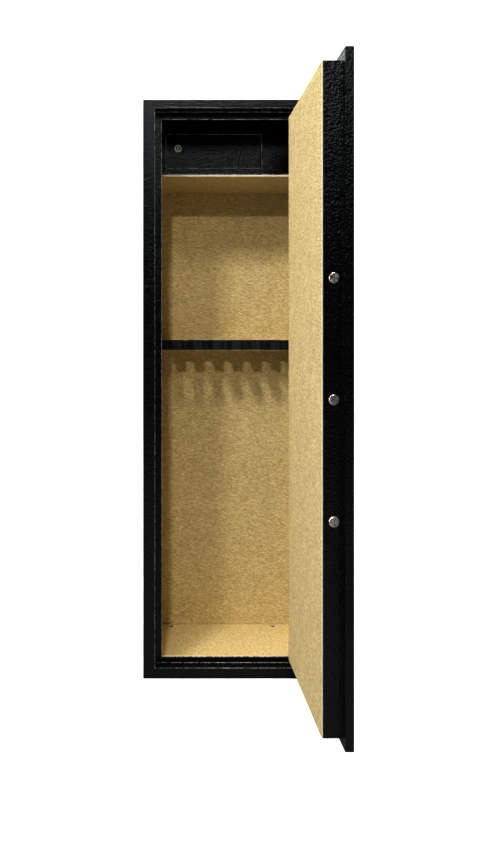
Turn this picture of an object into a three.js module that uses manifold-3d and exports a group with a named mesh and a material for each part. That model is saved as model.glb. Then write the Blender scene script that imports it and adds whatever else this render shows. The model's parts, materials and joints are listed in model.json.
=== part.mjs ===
// A tall steel wall safe for long guns, with a felt lining, a lockbox and a barrel rack.
// Millimetres, +Z up. The origin is the centre of the cabinet's underside; the front faces -Y.
import * as THREE from 'three';
import { mergeVertices } from 'three/addons/utils/BufferGeometryUtils.js';
import Module from 'manifold-3d';

const wasm = await Module();
wasm.setup();

// ---------------------------------------------------------------- driving dimensions

const WIDTH = 440;
const DEPTH = 330;
const HEIGHT = 1400;
const SHEET = 2;
const GAP = 0.3; // between touching pieces that could round into each other

const CUT = 1; // how far a cutting body runs past the face it opens
const RUNNING = 0.06; // between a turning or sliding part and its bore

const HALF = WIDTH / 2;
const FRONT = -DEPTH / 2;
const BACK = DEPTH / 2;
const INSIDE = HALF - SHEET;

// The door frame: a front flange, a recess for the door plate and a lip behind it.
const FRAME = {
  recessX: 192, recessLow: 25.5, recessHigh: 1380.5,
  lipX: 175.2, lipLow: 39.7, lipHigh: 1362, lipY: -135,
};
const LIP_BACK = FRAME.lipY + SHEET;

// Felt linings.
const FELT = 3.8;
const FELT_IN = INSIDE - FELT;
const BACK_FELT = 157;
const FLOOR_FELT = 5;
const UPSTAND = { thick: 3, aboveLip: 1.2 }; // the floor felt turned up behind the sill

// Anchor holes for the floor and the wall.
const ANCHOR_RADIUS = 6;
const FELT_HOLE_RADIUS = 6.5;
const FLOOR_ANCHORS = [[-145, -100], [145, -100], [-145, 143], [145, 143]];
const WALL_ANCHORS = [[-120, 250], [120, 250], [-120, 1150], [120, 1150]];

// The lockbox at the top and its door.
const SHELF = { top: 1250.8, thick: 2, feltThick: 5, frontY: -41 };
const BOX_OPENING = { left: -163.2, right: 85, low: 1265.7, high: 1354 };
const BOX_DOOR = { left: -161, right: 82, low: 1267, high: 1352.5, sheet: 1.5, fold: 9 };
const BOX_RETURN = 12;
const BOX_PIVOT = { x: 79.3, y: -36.5, radius: 1.8, past: 4 };
const BOX_LOCK = {
  x: -132, z: 1316, headRadius: 9.75, headThick: 4, edge: 1,
  barrelRadius: 8, barrelDeep: 19, plugRadius: 5.5, plugProud: 4.8,
  keywayHalf: 1, keywayReach: 3.6, keywayDeep: 10,
};
const BOX_CAM = { length: 42, width: 12, thick: 2 };

// The foam rack that holds the barrels.
const BRACKET = { near: 30, far: 140, drop: 34, ledge: 28 };
const RACK = { low: 794, high: 820.8, frontY: 17, slots: 7, pitch: 52.8, slotWidth: 28.5, slotDepth: 65 };

// The door, drawn closed; its group turns it 90 degrees open.
const HINGE = { x: 183.5, y: -147.2, pinRadius: 3 };
const HOLE_REACH = 5; // a pin's hole is cut this far to each side of its sheet
const PIN_BLOCK = { left: 176, right: 191, near: -155, far: -139, height: 11, reach: 29 };
const HINGE_BLOCK = { left: 176.3, far: -139.5, height: 30, bore: 26 };
const OPEN_ANGLE = Math.PI / 2;
const PLATE = { left: -190, right: 188.5, low: 28, high: 1378, outer: -153.2, inner: -136.5 };
const PLATE_SHEET = 2.5;
const CABLE_HOLE_RADIUS = 8;
const PAN = { left: -170, right: 170.5, low: 43, high: 1359, back: -99, sheet: 1.5 };
const LINING = { outer: -98.7, inner: -95.9 };

// The boltwork. The cam pin swings 45 degrees each side of upright, so the bolts travel 20.
const BOLT = { radius: 11, y: -120.3, tip: -172, root: -132.3, chamfer: 1.5 };
const GUIDE = { left: -166, right: -153, halfHeight: 18 };
const BOLT_HEIGHTS = { upper: 937, middle: 700, lower: 463 };
const BAR = { flangeX: -132, flangeThick: 4, stripX: -108, tabX: -52, low: 440, high: 960 };
const BAR_PLATE = { flangeOuter: -132, outer: -111.5, inner: -108.5 };
const TAB = { low: 697, high: 728 };
const SPINDLE = { x: -73, z: 700, radius: 6, outer: -172 };
const BUSH = { radius: 20, edge: 1.5, thick: 4, neckRadius: 10, far: -140 };
const CAM = { radius: 20, outer: -117, inner: -113, pinRadius: 4, pinOffset: 10, pinEnd: -106.5 };
const SLOT = { halfWidth: 4.6, low: 705, high: 719.5 };

// The electronic lock and the emergency lock on the door's face.
const KEYPAD = { x: -73, z: 850, width: 78, height: 128, depth: 20, wall: 2.5, corner: 9 };
const KEY = {
  width: 14.4, height: 10.4, corner: 2.5, pitchX: 20, pitchZ: 18, rise: 2.2, rimWidth: 1, rimThick: 1,
  topRow: 27, // the first row's centre above the keypad's
};
const KEY_CLEAR = 0.35;
const BOARD = {
  front: 8, thick: 1.6, reach: 58, holderInset: 4, holderShort: 2, holderLow: 56, holderHigh: 4,
};
const KEY_NAMES = [
  ['key_1', 'key_2', 'key_3'],
  ['key_4', 'key_5', 'key_6'],
  ['key_7', 'key_8', 'key_9'],
  ['key_star', 'key_0', 'key_hash'],
];
const SOLENOID = {
  x: -62, y: -111, low: 745, high: 787, halfX: 13, halfY: 8,
  plungerRadius: 4, roof: 6, travelRoom: 14, collarRadius: 6.8, collarLow: 2, collarHigh: 4,
};
const SPRING = { radius: 5.3, wire: 0.5, turns: 4, aboveCollar: 1.1, belowBody: 0.9 };
const SPARE_LOCK = {
  x: -73, z: 765, headRadius: 13, headThick: 4.5, edge: 1.5,
  barrelRadius: 11, barrelEnd: -125, plugRadius: 7, plugProud: 5.2, plugEnd: -126,
  keywayHalf: 1.1, keywayReach: 4.5, keywayDeep: 12,
};
const KNOB = {
  outer: -181.2, wingBack: -171, hubFace: -177, hubBack: -158.5,
  faceRadius: 14, edgeRadius: 19, edge: 3, radius: 22, shoulder: 9,
  reach: 41, end: 9, swell: 4, socketEnd: -150,
};

// ---------------------------------------------------------------- materials

function coat(color, roughness, metalness) {
  return () => new THREE.MeshStandardMaterial({ color, roughness, metalness });
}

const blackCoat = coat(0x17181a, 0.55, 0.3);
const felt = coat(0xb5ab99, 0.95, 0);
const steel = coat(0xc4c6c8, 0.3, 1);
const zinc = coat(0x9fa3a6, 0.4, 0.9);
const foam = coat(0x141414, 0.9, 0);
const plastic = coat(0x1d1d1f, 0.5, 0);
const rubber = coat(0x2c2d30, 0.8, 0);
const board = coat(0x1f5a38, 0.6, 0.1);

// ---------------------------------------------------------------- shape helpers

function block(x0, x1, y0, y1, z0, z1) {
  const box = new THREE.BoxGeometry(x1 - x0, y1 - y0, z1 - z0);
  return box.translate((x0 + x1) / 2, (y0 + y1) / 2, (z0 + z1) / 2);
}

// A closed lathe along Y: profile is [radius, y] pairs that start and end on the axis.
function turnedY(x, z, profile, segments = 32) {
  const points = profile.map(([radius, y]) => new THREE.Vector2(radius, y));
  return new THREE.LatheGeometry(points, segments).translate(x, 0, z);
}

function rodY(x, z, radius, y0, y1, segments = 32) {
  return turnedY(x, z, [[0, y0], [radius, y0], [radius, y1], [0, y1]], segments);
}

function rodZ(x, y, radius, z0, z1, segments = 24) {
  const rod = new THREE.CylinderGeometry(radius, radius, z1 - z0, segments);
  return rod.rotateX(Math.PI / 2).translate(x, y, (z0 + z1) / 2);
}

function rodX(y, z, radius, x0, x1, segments = 32) {
  const rod = new THREE.CylinderGeometry(radius, radius, x1 - x0, segments);
  return rod.rotateZ(Math.PI / 2).translate((x0 + x1) / 2, y, z);
}

// An outline in X and Z, pushed along Y from y0 to y1.
function slabXZ(shape, y0, y1, curveSegments = 6) {
  const slab = new THREE.ExtrudeGeometry(shape, { depth: y1 - y0, bevelEnabled: false, curveSegments });
  return slab.rotateX(Math.PI / 2).translate(0, y1, 0);
}

function roundedRectangle(x, z, width, height, radius) {
  const shape = new THREE.Shape();
  const left = x - width / 2;
  const right = x + width / 2;
  const low = z - height / 2;
  const high = z + height / 2;
  shape.moveTo(left + radius, low);
  shape.lineTo(right - radius, low);
  shape.absarc(right - radius, low + radius, radius, -Math.PI / 2, 0);
  shape.lineTo(right, high - radius);
  shape.absarc(right - radius, high - radius, radius, 0, Math.PI / 2);
  shape.lineTo(left + radius, high);
  shape.absarc(left + radius, high - radius, radius, Math.PI / 2, Math.PI);
  shape.lineTo(left, low + radius);
  shape.absarc(left + radius, low + radius, radius, Math.PI, Math.PI * 1.5);
  return shape;
}

function solidOf(geometry) {
  const bare = geometry.clone();
  bare.deleteAttribute('normal');
  bare.deleteAttribute('uv');
  const merged = mergeVertices(bare, 1e-4);
  const mesh = new wasm.Mesh({
    numProp: 3,
    vertProperties: new Float32Array(merged.attributes.position.array),
    triVerts: new Uint32Array(merged.index.array),
  });
  return new wasm.Manifold(mesh);
}

function geometryOf(solid) {
  const mesh = solid.getMesh();
  const geometry = new THREE.BufferGeometry();
  geometry.setAttribute('position', new THREE.BufferAttribute(mesh.vertProperties, 3));
  geometry.setIndex(new THREE.BufferAttribute(mesh.triVerts, 1));
  geometry.computeVertexNormals();
  return geometry;
}

function join(first, ...others) {
  return geometryOf(others.reduce((solid, other) => solid.add(solidOf(other)), solidOf(first)));
}

function cut(first, ...tools) {
  return geometryOf(tools.reduce((solid, tool) => solid.subtract(solidOf(tool)), solidOf(first)));
}

function place(group, name, geometry, material) {
  const mesh = new THREE.Mesh(geometry, material());
  mesh.name = name;
  group.add(mesh);
}

// ---------------------------------------------------------------- cabinet shell

function addShell(group) {
  place(group, 'left_side', block(-HALF, -INSIDE, FRONT, BACK, 0, HEIGHT), blackCoat);
  place(group, 'right_side', block(INSIDE, HALF, FRONT, BACK, 0, HEIGHT), blackCoat);
  const top = block(-INSIDE, INSIDE, FRONT, BACK, HEIGHT - SHEET, HEIGHT);
  place(group, 'top_panel', top, blackCoat);
  const floorHoles = FLOOR_ANCHORS.map(([x, y]) => rodZ(x, y, ANCHOR_RADIUS, -CUT, SHEET + CUT));
  const base = cut(block(-INSIDE, INSIDE, FRONT, BACK, 0, SHEET), ...floorHoles);
  place(group, 'base_panel', base, blackCoat);
  const wallHoles = WALL_ANCHORS.map(([x, z]) => rodY(x, z, ANCHOR_RADIUS,
    BACK - SHEET - CUT, BACK + CUT, 24));
  const back = block(-INSIDE, INSIDE, BACK - SHEET, BACK, SHEET, HEIGHT - SHEET);
  place(group, 'back_panel', cut(back, ...wallHoles), blackCoat);
}

// One upright of the frame; side is -1 for the left and 1 for the right.
function jamb(side) {
  const wallLow = FRAME.recessLow - SHEET;
  const wallHigh = FRAME.recessHigh + SHEET;
  const span = (a, b, y0, y1, z0, z1) => block(Math.min(side * a, side * b),
    Math.max(side * a, side * b), y0, y1, z0, z1);
  return join(
    span(FRAME.recessX, INSIDE, FRONT, FRONT + SHEET, SHEET, HEIGHT - SHEET),
    span(FRAME.recessX, FRAME.recessX + SHEET, FRONT, LIP_BACK, wallLow, wallHigh),
    span(FRAME.lipX, FRAME.recessX + SHEET, FRAME.lipY, LIP_BACK, wallLow, wallHigh),
  );
}

// The head or the sill, from the edge against the panel (far) to the lip's free edge.
function rail(far, recess, lip, hingeHole) {
  const up = Math.sign(far - recess);
  const span = (x, y0, y1, a, b) => block(-x, x, y0, y1, Math.min(a, b), Math.max(a, b));
  const folded = join(
    span(FRAME.recessX, FRONT, FRONT + SHEET, far, recess),
    span(FRAME.recessX, FRONT, FRAME.lipY, recess + up * SHEET, recess),
    span(FRAME.lipX, FRAME.lipY, LIP_BACK, recess + up * SHEET, lip),
  );
  return cut(folded, hingeHole);
}

function addFrame(group) {
  place(group, 'jamb_left', jamb(-1), blackCoat);
  place(group, 'jamb_right', jamb(1), blackCoat);
  const hole = (z) => rodZ(HINGE.x, HINGE.y, HINGE.pinRadius + GAP, z - HOLE_REACH, z + HOLE_REACH);
  const head = rail(HEIGHT - SHEET, FRAME.recessHigh, FRAME.lipHigh, hole(FRAME.recessHigh));
  place(group, 'frame_head', head, blackCoat);
  const sill = rail(SHEET, FRAME.recessLow, FRAME.lipLow, hole(FRAME.recessLow));
  place(group, 'frame_sill', sill, blackCoat);
}

// A pin on a welded block behind the recess wall; up is 1 at the sill and -1 at the head.
function hingePin(wall, up) {
  const blockNear = wall - up * (SHEET + GAP);
  const blockFar = blockNear - up * PIN_BLOCK.height;
  const pinEnd = wall + up * PIN_BLOCK.reach;
  return join(
    block(PIN_BLOCK.left, PIN_BLOCK.right, PIN_BLOCK.near, PIN_BLOCK.far,
      Math.min(blockNear, blockFar), Math.max(blockNear, blockFar)),
    rodZ(HINGE.x, HINGE.y, HINGE.pinRadius, Math.min(blockFar, pinEnd), Math.max(blockFar, pinEnd)),
  );
}

function addHingePins(group) {
  place(group, 'hinge_pin_lower', hingePin(FRAME.recessLow, 1), steel);
  place(group, 'hinge_pin_upper', hingePin(FRAME.recessHigh, -1), steel);
}

// ---------------------------------------------------------------- linings

function addLinings(group) {
  const outer = INSIDE - GAP;
  const low = FLOOR_FELT + GAP;
  const high = HEIGHT - SHEET - GAP;
  const near = LIP_BACK + GAP;
  const far = BACK - SHEET - GAP;
  place(group, 'lining_left', block(-outer, -FELT_IN, near, far, low, high), felt);
  place(group, 'lining_right', block(FELT_IN, outer, near, far, low, high), felt);
  const across = FELT_IN - GAP;
  place(group, 'lining_back', block(-across, across, BACK_FELT, far, low, high), felt);
  const mat = block(-across, across, near, BACK_FELT - GAP, SHEET + GAP, FLOOR_FELT);
  const upstand = block(-across, across, near, near + UPSTAND.thick, SHEET + GAP,
    FRAME.lipLow + UPSTAND.aboveLip);
  const holes = FLOOR_ANCHORS.map(([x, y]) => rodZ(x, y, FELT_HOLE_RADIUS, 0, FLOOR_FELT + CUT));
  place(group, 'lining_floor', cut(join(mat, upstand), ...holes), felt);
}

// ---------------------------------------------------------------- lockbox

function addLockboxShell(group) {
  const across = FELT_IN - GAP;
  const far = BACK_FELT - GAP;
  const under = SHELF.top - SHELF.thick;
  const shelf = block(-across, across, SHELF.frontY, far, under, SHELF.top);
  place(group, 'lockbox_shelf', shelf, blackCoat);
  const shelfFelt = block(-across, across, SHELF.frontY, far, under - GAP - SHELF.feltThick, under - GAP);
  place(group, 'shelf_lining', shelfFelt, felt);
  place(group, 'lockbox_front', lockboxFront(across), blackCoat);
  const pin = rodZ(BOX_PIVOT.x, BOX_PIVOT.y, BOX_PIVOT.radius, BOX_OPENING.low - BOX_PIVOT.past,
    BOX_OPENING.high + BOX_PIVOT.past, 20);
  place(group, 'lockbox_hinge_pin', pin, steel);
}

// The lockbox's front sheet, with a return folded back around its doorway.
function lockboxFront(across) {
  const o = BOX_OPENING;
  const near = SHELF.frontY;
  const sheet = block(-across, across, near, near + SHEET, SHELF.top + GAP, HEIGHT - SHEET - GAP);
  const collar = block(o.left - SHEET, o.right + SHEET, near, near + SHEET + BOX_RETURN,
    o.low - SHEET, o.high + SHEET);
  const doorway = block(o.left, o.right, near - CUT, near + SHEET + BOX_RETURN + CUT, o.low, o.high);
  const pinHole = rodZ(BOX_PIVOT.x, BOX_PIVOT.y, BOX_PIVOT.radius + GAP, o.low - BOX_PIVOT.past - CUT,
    o.high + BOX_PIVOT.past + CUT, 20);
  return cut(join(sheet, collar), doorway, pinHole);
}

function addLockboxDoor(group) {
  const d = BOX_DOOR;
  const near = SHELF.frontY;
  const deep = near + d.fold;
  const foldRight = d.right - 1; // the folds stop short of the hinge edge, so the door clears its return
  const tray = join(
    block(d.left, d.right, near, near + d.sheet, d.low, d.high),
    block(d.left, d.left + d.sheet, near, deep, d.low, d.high),
    block(d.left, foldRight, near, deep, d.low, d.low + d.sheet),
    block(d.left, foldRight, near, deep, d.high - d.sheet, d.high),
  );
  const pinHole = rodZ(BOX_PIVOT.x, BOX_PIVOT.y, BOX_PIVOT.radius + RUNNING,
    d.low - CUT, d.high + CUT, 20);
  const lockHole = rodY(BOX_LOCK.x, BOX_LOCK.z, BOX_LOCK.barrelRadius + GAP,
    near - CUT, near + d.sheet + CUT);
  place(group, 'lockbox_door', cut(tray, pinHole, lockHole), blackCoat);

  const k = BOX_LOCK;
  const headBack = near - GAP;
  const body = turnedY(k.x, k.z, [
    [0, headBack - k.headThick],
    [k.headRadius - k.edge, headBack - k.headThick],
    [k.headRadius, headBack - k.headThick + k.edge],
    [k.headRadius, headBack],
    [k.barrelRadius, headBack],
    [k.barrelRadius, near + k.barrelDeep],
    [0, near + k.barrelDeep],
  ]);
  const bore = rodY(k.x, k.z, k.plugRadius + RUNNING, headBack - k.headThick - CUT,
    near + k.barrelDeep + CUT);
  place(group, 'lockbox_lock_body', cut(body, bore), zinc);

  const face = near - k.plugProud;
  const camFront = near + k.barrelDeep + 1;
  const camBack = camFront + BOX_CAM.thick;
  const halfCam = BOX_CAM.width / 2;
  const keyway = block(k.x - k.keywayHalf, k.x + k.keywayHalf, face - CUT, face + k.keywayDeep,
    k.z - k.keywayReach, k.z + k.keywayReach);
  const plug = cut(rodY(k.x, k.z, k.plugRadius, face, camBack), keyway);
  const cam = block(k.x - halfCam, k.x + halfCam, camFront, camBack, k.z - BOX_CAM.length, k.z + halfCam);
  place(group, 'lockbox_lock_plug', join(plug, cam), steel);
}

// ---------------------------------------------------------------- barrel rack

function rackOutline(across) {
  const shape = new THREE.Shape();
  const half = RACK.slotWidth / 2;
  const straight = RACK.frontY + RACK.slotDepth - half;
  shape.moveTo(-across, BACK_FELT - GAP);
  shape.lineTo(-across, RACK.frontY);
  for (let i = 0; i < RACK.slots; i += 1) {
    const x = (i - (RACK.slots - 1) / 2) * RACK.pitch;
    shape.lineTo(x - half, RACK.frontY);
    shape.lineTo(x - half, straight);
    shape.absarc(x, straight, half, Math.PI, 0, true);
    shape.lineTo(x + half, RACK.frontY);
  }
  shape.lineTo(across, RACK.frontY);
  shape.lineTo(across, BACK_FELT - GAP);
  return shape;
}

function addRack(group) {
  const across = FELT_IN - GAP;
  const rack = new THREE.ExtrudeGeometry(rackOutline(across), {
    depth: RACK.high - RACK.low, bevelEnabled: false, curveSegments: 12,
  });
  place(group, 'barrel_rack', rack.translate(0, 0, RACK.low), foam);
  for (const side of [-1, 1]) {
    const x = (a, b) => [Math.min(side * a, side * b), Math.max(side * a, side * b)];
    const top = RACK.low - GAP;
    const bracket = join(
      block(...x(across - SHEET, across), BRACKET.near, BRACKET.far, top - BRACKET.drop, top),
      block(...x(across - BRACKET.ledge, across), BRACKET.near, BRACKET.far, top - SHEET, top),
    );
    place(group, side < 0 ? 'rack_bracket_left' : 'rack_bracket_right', bracket, blackCoat);
  }
}

// ---------------------------------------------------------------- door shell

function addDoorPlate(group) {
  const p = PLATE;
  const slab = block(p.left, p.right, p.outer, p.inner, p.low, p.high);
  const hollow = block(p.left + SHEET, p.right - SHEET, p.outer + PLATE_SHEET, p.inner + CUT,
    p.low + SHEET, p.high - SHEET);
  const pinHole = (z) => rodZ(HINGE.x, HINGE.y, HINGE.pinRadius + GAP, z - HOLE_REACH, z + HOLE_REACH);
  const faceHole = (x, z, radius) => rodY(x, z, radius + GAP, p.outer - CUT,
    p.outer + PLATE_SHEET + CUT);
  place(group, 'door_plate', cut(
    slab,
    hollow,
    pinHole(p.low),
    pinHole(p.high),
    faceHole(SPINDLE.x, SPINDLE.z, BUSH.neckRadius),
    faceHole(SPARE_LOCK.x, SPARE_LOCK.z, SPARE_LOCK.barrelRadius),
    faceHole(KEYPAD.x, KEYPAD.z, CABLE_HOLE_RADIUS),
  ), blackCoat);
}

function addDoorPan(group) {
  const rim = SHEET + GAP;
  const flangeBack = PLATE.inner - SHEET;
  const flange = block(PLATE.left + rim, PLATE.right - rim, flangeBack, PLATE.inner,
    PLATE.low + rim, PLATE.high - rim);
  const box = block(PAN.left, PAN.right, flangeBack, PAN.back, PAN.low, PAN.high);
  const hollow = block(PAN.left + PAN.sheet, PAN.right - PAN.sheet, flangeBack - CUT, PAN.back - PAN.sheet,
    PAN.low + PAN.sheet, PAN.high - PAN.sheet);
  const boltHoles = Object.values(BOLT_HEIGHTS).map(
    (z) => rodX(BOLT.y, z, BOLT.radius + 2 * GAP, PAN.left - CUT, PAN.left + PAN.sheet + CUT),
  );
  place(group, 'door_pan', cut(join(flange, box), hollow, ...boltHoles), blackCoat);
  const lining = block(PAN.left, PAN.right, LINING.outer, LINING.inner, PAN.low, PAN.high);
  place(group, 'door_lining', lining, felt);
}

// The bored block in each hinge corner of the door plate; up is 1 below and -1 above.
function hingeBlock(edge, up) {
  const near = edge + up * (SHEET + GAP);
  const far = near + up * HINGE_BLOCK.height;
  const body = block(HINGE_BLOCK.left, PLATE.right - SHEET - GAP, PLATE.outer + PLATE_SHEET + GAP,
    HINGE_BLOCK.far, Math.min(near, far), Math.max(near, far));
  const boreEnd = near + up * HINGE_BLOCK.bore;
  const bore = rodZ(HINGE.x, HINGE.y, HINGE.pinRadius + RUNNING, Math.min(near - up, boreEnd),
    Math.max(near - up, boreEnd));
  return cut(body, bore);
}

function addHingeBlocks(group) {
  place(group, 'hinge_block_lower', hingeBlock(PLATE.low, 1), steel);
  place(group, 'hinge_block_upper', hingeBlock(PLATE.high, -1), steel);
}

// ---------------------------------------------------------------- boltwork

function addBolts(group) {
  const length = BOLT.root - BOLT.tip;
  const profile = [
    [0, 0],
    [BOLT.radius - BOLT.chamfer, 0],
    [BOLT.radius, BOLT.chamfer],
    [BOLT.radius, length],
    [0, length],
  ].map(([radius, along]) => new THREE.Vector2(radius, along));
  for (const [name, z] of Object.entries(BOLT_HEIGHTS)) {
    const bolt = new THREE.LatheGeometry(profile, 40).rotateZ(-Math.PI / 2);
    place(group, `bolt_${name}`, bolt.translate(BOLT.tip, BOLT.y, z), steel);
    const guideBody = block(GUIDE.left, GUIDE.right, PLATE.inner + SHEET, PAN.back - PAN.sheet - GAP,
      z - GUIDE.halfHeight, z + GUIDE.halfHeight);
    const guide = cut(guideBody,
      rodX(BOLT.y, z, BOLT.radius + GAP, GUIDE.left - CUT, GUIDE.right + CUT, 40));
    place(group, `bolt_guide_${name}`, guide, zinc);
  }
}

function addBoltBar(group) {
  const outline = new THREE.Shape();
  outline.moveTo(BAR.flangeX, BAR.low);
  outline.lineTo(BAR.stripX, BAR.low);
  outline.lineTo(BAR.stripX, TAB.low);
  outline.lineTo(BAR.tabX, TAB.low);
  outline.lineTo(BAR.tabX, TAB.high);
  outline.lineTo(BAR.stripX, TAB.high);
  outline.lineTo(BAR.stripX, BAR.high);
  outline.lineTo(BAR.flangeX, BAR.high);
  const plate = slabXZ(outline, BAR_PLATE.outer, BAR_PLATE.inner);
  const flange = block(BAR.flangeX, BAR.flangeX + BAR.flangeThick, BAR_PLATE.flangeOuter,
    BAR_PLATE.inner, BAR.low, BAR.high);
  const pinX = SPINDLE.x + CAM.pinOffset;
  const slot = block(pinX - SLOT.halfWidth, pinX + SLOT.halfWidth, BAR_PLATE.outer - CUT,
    BAR_PLATE.inner + CUT, SLOT.low, SLOT.high);
  place(group, 'bolt_bar', cut(join(plate, flange), slot), zinc);
}

function addHandle(group) {
  const s = SPINDLE;
  const face = PLATE.outer - BUSH.thick;
  const bushProfile = [
    [0, face],
    [BUSH.radius - BUSH.edge, face],
    [BUSH.radius, face + BUSH.edge],
    [BUSH.radius, PLATE.outer - GAP],
    [BUSH.neckRadius, PLATE.outer - GAP],
    [BUSH.neckRadius, BUSH.far],
    [0, BUSH.far],
  ];
  const bore = rodY(s.x, s.z, s.radius + RUNNING, face - CUT, BUSH.far + CUT);
  const bush = cut(turnedY(s.x, s.z, bushProfile, 48), bore);
  place(group, 'spindle_bush', bush, zinc);
  place(group, 'handle_spindle', rodY(s.x, s.z, s.radius, s.outer, CAM.outer - GAP), steel);

  const camDisc = rodY(s.x, s.z, CAM.radius, CAM.outer, CAM.inner, 40);
  const pin = rodY(s.x + CAM.pinOffset, s.z + CAM.pinOffset, CAM.pinRadius, CAM.outer, CAM.pinEnd, 24);
  place(group, 'cam_disc', join(camDisc, pin), zinc);

  const hub = turnedY(s.x, s.z, [
    [0, KNOB.hubFace],
    [KNOB.faceRadius, KNOB.hubFace],
    [KNOB.edgeRadius, KNOB.hubFace + KNOB.edge],
    [KNOB.radius, KNOB.hubFace + KNOB.shoulder],
    [KNOB.radius, KNOB.hubBack],
    [0, KNOB.hubBack],
  ], 48);
  const wing = slabXZ(wingOutline(s.x, s.z), KNOB.outer, KNOB.wingBack, 10);
  const socket = rodY(s.x, s.z, s.radius + 0.1, s.outer - CUT, KNOB.socketEnd);
  place(group, 'handle_knob', cut(join(hub, wing), socket), zinc);
}

// The upright bar across the knob: round ends and swollen sides.
function wingOutline(x, z) {
  const { end, swell } = KNOB;
  const shape = new THREE.Shape();
  shape.moveTo(x - end, z - KNOB.reach);
  shape.absarc(x, z - KNOB.reach, end, Math.PI, 2 * Math.PI);
  shape.quadraticCurveTo(x + end + swell, z, x + end, z + KNOB.reach);
  shape.absarc(x, z + KNOB.reach, end, 0, Math.PI);
  shape.quadraticCurveTo(x - end - swell, z, x - end, z - KNOB.reach);
  return shape;
}

// ---------------------------------------------------------------- electronic lock

function addKeypad(group) {
  const k = KEYPAD;
  const back = PLATE.outer - GAP;
  const front = back - k.depth;
  const shell = slabXZ(roundedRectangle(k.x, k.z, k.width, k.height, k.corner), front, back);
  const hollow = slabXZ(
    roundedRectangle(k.x, k.z, k.width - 2 * k.wall, k.height - 2 * k.wall, k.corner - k.wall),
    front + k.wall,
    back + CUT,
  );
  const windows = [];
  KEY_NAMES.forEach((names, row) => names.forEach((name, column) => {
    const x = k.x + (column - 1) * KEY.pitchX;
    const z = k.z + KEY.topRow - row * KEY.pitchZ;
    const halfX = KEY.width / 2;
    const halfZ = KEY.height / 2;
    windows.push(block(x - halfX - KEY_CLEAR, x + halfX + KEY_CLEAR, front - CUT, front + k.wall + CUT,
      z - halfZ - KEY_CLEAR, z + halfZ + KEY_CLEAR));
    const rimBack = front + k.wall + GAP + KEY.rimThick;
    const capOutline = roundedRectangle(x, z, KEY.width, KEY.height, KEY.corner);
    const cap = slabXZ(capOutline, front - KEY.rise, rimBack, 3);
    const rim = block(x - halfX - KEY.rimWidth, x + halfX + KEY.rimWidth, front + k.wall + GAP, rimBack,
      z - halfZ - KEY.rimWidth, z + halfZ + KEY.rimWidth);
    place(group, name, join(cap, rim), rubber);
  }));
  place(group, 'keypad_housing', cut(shell, hollow, ...windows), plastic);
  const half = k.width / 2 - k.wall - 1;
  const circuitBack = front + BOARD.front + BOARD.thick;
  const circuit = block(k.x - half, k.x + half, front + BOARD.front, circuitBack,
    k.z - BOARD.reach, k.z + BOARD.reach);
  const holder = block(k.x - half + BOARD.holderInset, k.x + half - BOARD.holderInset, circuitBack,
    back - BOARD.holderShort, k.z - BOARD.holderLow, k.z - BOARD.holderHigh);
  place(group, 'keypad_board', join(circuit, holder), board);
}

function addSolenoid(group) {
  const s = SOLENOID;
  const bodyBlock = block(s.x - s.halfX, s.x + s.halfX, s.y - s.halfY, s.y + s.halfY, s.low, s.high);
  const bore = rodZ(s.x, s.y, s.plungerRadius + RUNNING, s.low - CUT, s.high - s.roof);
  place(group, 'solenoid_body', cut(bodyBlock, bore), zinc);
  const tip = TAB.high + GAP;
  const collar = rodZ(s.x, s.y, s.collarRadius, tip + s.collarLow, tip + s.collarHigh);
  const plunger = join(rodZ(s.x, s.y, s.plungerRadius, tip, s.high - s.travelRoom), collar);
  place(group, 'solenoid_plunger', plunger, steel);
  const springLow = tip + s.collarHigh + SPRING.aboveCollar;
  const springHigh = s.low - SPRING.belowBody;
  const spring = coil(s.x, s.y, SPRING.radius, SPRING.wire, springLow, springHigh, SPRING.turns);
  place(group, 'plunger_spring', spring, steel);
}

class Helix extends THREE.Curve {
  constructor(x, y, radius, z0, z1, turns) {
    super();
    Object.assign(this, { x, y, radius, z0, z1, turns });
  }

  getPoint(t, target = new THREE.Vector3()) {
    const angle = 2 * Math.PI * this.turns * t;
    return target.set(
      this.x + this.radius * Math.cos(angle),
      this.y + this.radius * Math.sin(angle),
      this.z0 + (this.z1 - this.z0) * t,
    );
  }
}

function coil(x, y, radius, wire, z0, z1, turns) {
  const section = new THREE.Shape();
  section.absarc(0, 0, wire, 0, 2 * Math.PI);
  const path = new Helix(x, y, radius, z0, z1, turns);
  return new THREE.ExtrudeGeometry(section, { steps: turns * 14, extrudePath: path, curveSegments: 6 });
}

function addSpareLock(group) {
  const k = SPARE_LOCK;
  const outer = PLATE.outer;
  const body = turnedY(k.x, k.z, [
    [0, outer - k.headThick],
    [k.headRadius - k.edge, outer - k.headThick],
    [k.headRadius, outer - k.headThick + k.edge],
    [k.headRadius, outer - GAP],
    [k.barrelRadius, outer - GAP],
    [k.barrelRadius, k.barrelEnd],
    [0, k.barrelEnd],
  ], 40);
  const bore = rodY(k.x, k.z, k.plugRadius + RUNNING, outer - k.headThick - CUT, k.barrelEnd + CUT);
  place(group, 'spare_lock_body', cut(body, bore), zinc);
  const plug = rodY(k.x, k.z, k.plugRadius, outer - k.plugProud, k.plugEnd);
  const keyway = block(k.x - k.keywayHalf, k.x + k.keywayHalf, outer - k.plugProud - CUT,
    outer + k.keywayDeep, k.z - k.keywayReach, k.z + k.keywayReach);
  place(group, 'spare_lock_plug', cut(plug, keyway), steel);
}

// ---------------------------------------------------------------- assembly

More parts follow.
